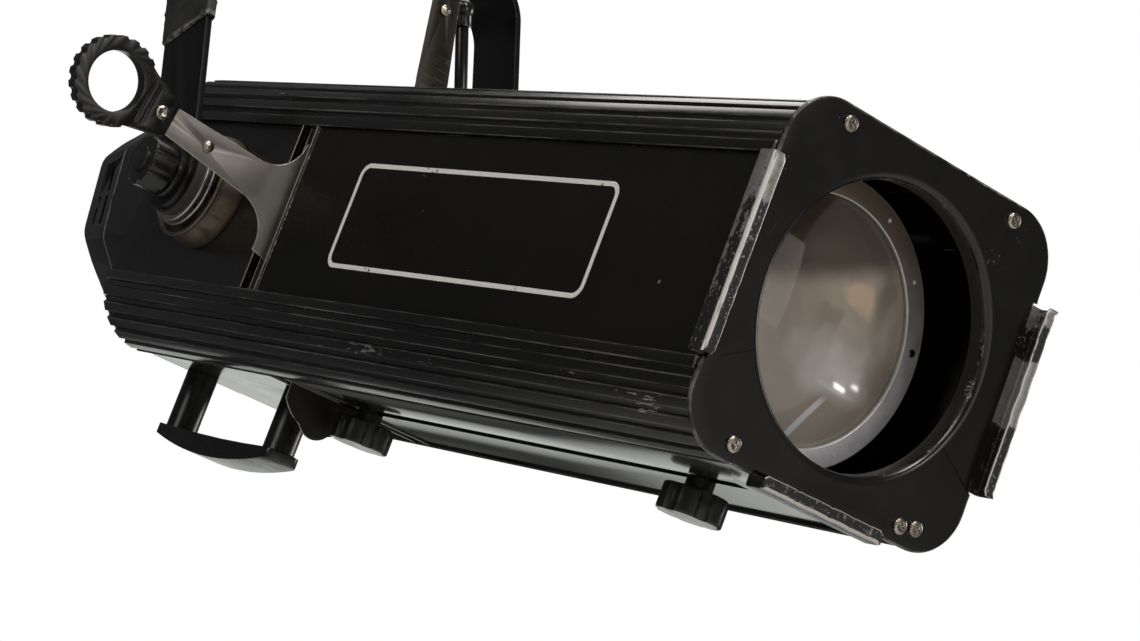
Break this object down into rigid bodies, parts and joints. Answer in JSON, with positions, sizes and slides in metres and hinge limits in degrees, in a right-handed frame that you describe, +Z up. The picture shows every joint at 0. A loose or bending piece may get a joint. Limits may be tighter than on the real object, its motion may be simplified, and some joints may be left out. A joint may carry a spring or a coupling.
{
  "type": "ellipsoidal spotlight",
  "caption": "Ellipsoidal stage spotlight with ribbed square housing, framing shutters on ring handles, sliding lenses and a flat-bar hanging yoke.",
  "frame": {"origin": "centre of the clamp-bolt hole on the top face of the yoke's cross bar, the point the luminaire hangs from", "axes": "+Z up through the clamp bolt; the beam leaves towards -Y and 29.5 degrees down; the label side is -X"},
  "size_m": [0.5613, 0.7725, 0.705],
  "materials": {
    "black_paint": "satin black enamel on aluminium, worn to bare metal on the edges",
    "bare_aluminium": "plain mill",
    "black_inner": "matt black inside finish",
    "yoke_paint": "satin black enamel on flat steel bar",
    "sleeve": "matt black wrap",
    "channel_paint": "black enamel worn back to silver on the lips",
    "screw_steel": "nickel-plated, tarnished",
    "label_silver": "printed silver line",
    "blade_steel": "heat-darkened stainless sheet",
    "bakelite": "moulded black phenolic",
    "boss_bronze": "cast, dull bronze grey",
    "disc_metal": "plain turned",
    "lens_ring": "satin silver",
    "lens_glass": "clear polished",
    "reflector_metal": "polished spun aluminium",
    "ceramic_white": "steatite lamp base",
    "lamp_glass": "clear quartz",
    "gloss_black": "polished black"
  },
  "bodies": {
    "yoke": {"yoke_crossbar": "yoke_paint", "yoke_arm_right": "yoke_paint", "yoke_arm_left": "yoke_paint", "yoke_sleeve": "sleeve"},
    "housing": {"front_plate": "black_paint", "colour_channel_left": "channel_paint", "colour_channel_right": "channel_paint", "colour_channel_bottom": "channel_paint", "front_plate_screws": "screw_steel", "corner_rail_top_right": "black_paint", "corner_rail_top_left": "black_paint", "corner_rail_bottom_left": "black_paint", "corner_rail_bottom_right": "black_paint", "side_panel_front_right": "black_paint", "side_panel_front_left": "black_paint", "side_panel_rear_right": "black_paint", "side_panel_rear_left": "black_paint", "top_panel_front": "black_paint", "bottom_panel_front": "black_paint", "top_panel_rear": "black_paint", "bottom_panel_rear": "black_paint", "label_border": "label_silver", "gate_plate_front": "bare_aluminium", "gate_plate_rear": "bare_aluminium", "reflector": "reflector_metal", "tilt_bosses": "boss_bronze", "friction_washers": "disc_metal", "tilt_studs": "screw_steel", "rear_handle": "bakelite", "handle_bolts": "screw_steel"},
    "tilt_knob_right": {"tilt_knob_right": "bakelite"},
    "tilt_knob_left": {"tilt_knob_left": "bakelite"},
    "front_lens_carriage": {"front_lens": "lens_glass", "front_lens_ring": "lens_ring", "front_lens_carriage": "black_inner"},
    "front_focus_knob": {"front_focus_knob": "bakelite"},
    "rear_lens_carriage": {"rear_lens": "lens_glass", "rear_lens_ring": "black_inner", "rear_lens_carriage": "black_inner"},
    "rear_focus_knob": {"rear_focus_knob": "bakelite"},
    "iris": {"iris_ring": "blade_steel", "iris_lever": "gloss_black", "iris_knob": "gloss_black"},
    "lamp_cap": {"rear_cap": "black_paint", "lamp_carrier": "bare_aluminium", "lamp_socket": "ceramic_white", "lamp_base": "ceramic_white", "lamp_bulb": "lamp_glass", "cable_gland": "gloss_black"},
    "lamp_adjust_knob": {"lamp_adjust_knob": "bakelite"},
    "shutter_left": {"shutter_left_blade": "blade_steel", "shutter_left_handle": "bakelite", "shutter_left_rivets": "screw_steel"},
    "shutter_right": {"shutter_right_blade": "blade_steel", "shutter_right_handle": "bakelite", "shutter_right_rivets": "screw_steel"},
    "shutter_top": {"shutter_top_blade": "blade_steel", "shutter_top_handle": "bakelite", "shutter_top_rivets": "screw_steel"},
    "shutter_bottom": {"shutter_bottom_blade": "blade_steel"}
  },
  "joints": [
    {"name": "tilt", "type": "hinge", "parent": "yoke", "child": "housing", "pos_m": [0, 0, -0.3148], "axis": [1, 0, 0], "range_deg": [-70, 65]},
    {"name": "tilt_lock_right", "type": "hinge", "parent": "housing", "child": "tilt_knob_right", "pos_m": [0.16, 0, -0.3148], "axis": [1, 0, 0], "range_deg": [0, 180]},
    {"name": "tilt_lock_left", "type": "hinge", "parent": "housing", "child": "tilt_knob_left", "pos_m": [-0.16, 0, -0.3148], "axis": [-1, 0, 0], "range_deg": [0, 180]},
    {"name": "front_focus_slide", "type": "slide", "parent": "housing", "child": "front_lens_carriage", "axis": [0, 0.8704, 0.4924], "range_m": [0, 0.11]},
    {"name": "front_focus_lock", "type": "hinge", "parent": "front_lens_carriage", "child": "front_focus_knob", "pos_m": [0, -0.35868, -0.65561], "axis": [0, -0.4924, 0.8704], "range_deg": [0, 180]},
    {"name": "rear_focus_slide", "type": "slide", "parent": "housing", "child": "rear_lens_carriage", "axis": [0, -0.8704, -0.4924], "range_m": [0, 0.09]},
    {"name": "rear_focus_lock", "type": "hinge", "parent": "rear_lens_carriage", "child": "rear_focus_knob", "pos_m": [0, -0.04622, -0.47883], "axis": [0, -0.4924, 0.8704], "range_deg": [0, 180]},
    {"name": "iris_turn", "type": "hinge", "parent": "housing", "child": "iris", "pos_m": [0, -0.06717, -0.35855], "axis": [0, 0.8704, 0.4924], "range_deg": [-13, 13]},
    {"name": "lamp_cap_slide", "type": "slide", "parent": "housing", "child": "lamp_cap", "axis": [0, 0.8704, 0.4924], "range_m": [0, 0.08]},
    {"name": "lamp_adjust_turn", "type": "hinge", "parent": "lamp_cap", "child": "lamp_adjust_knob", "pos_m": [0, 0.1835, -0.21673], "axis": [0, 0.9686, 0.2485], "range_deg": [-180, 180]},
    {"name": "shutter_left_slide", "type": "slide", "parent": "housing", "child": "shutter_left", "axis": [0.9914, 0.0643, -0.1136], "range_m": [0, 0.075]},
    {"name": "shutter_right_slide", "type": "slide", "parent": "housing", "child": "shutter_right", "axis": [-0.9945, -0.0515, 0.091], "range_m": [0, 0.075]},
    {"name": "shutter_top_slide", "type": "slide", "parent": "housing", "child": "shutter_top", "axis": [0.225, 0.4798, -0.848], "range_m": [0, 0.06]},
    {"name": "shutter_bottom_slide", "type": "slide", "parent": "housing", "child": "shutter_bottom", "axis": [0, -0.4924, 0.8704], "range_m": [0, 0.012]}
  ]
}
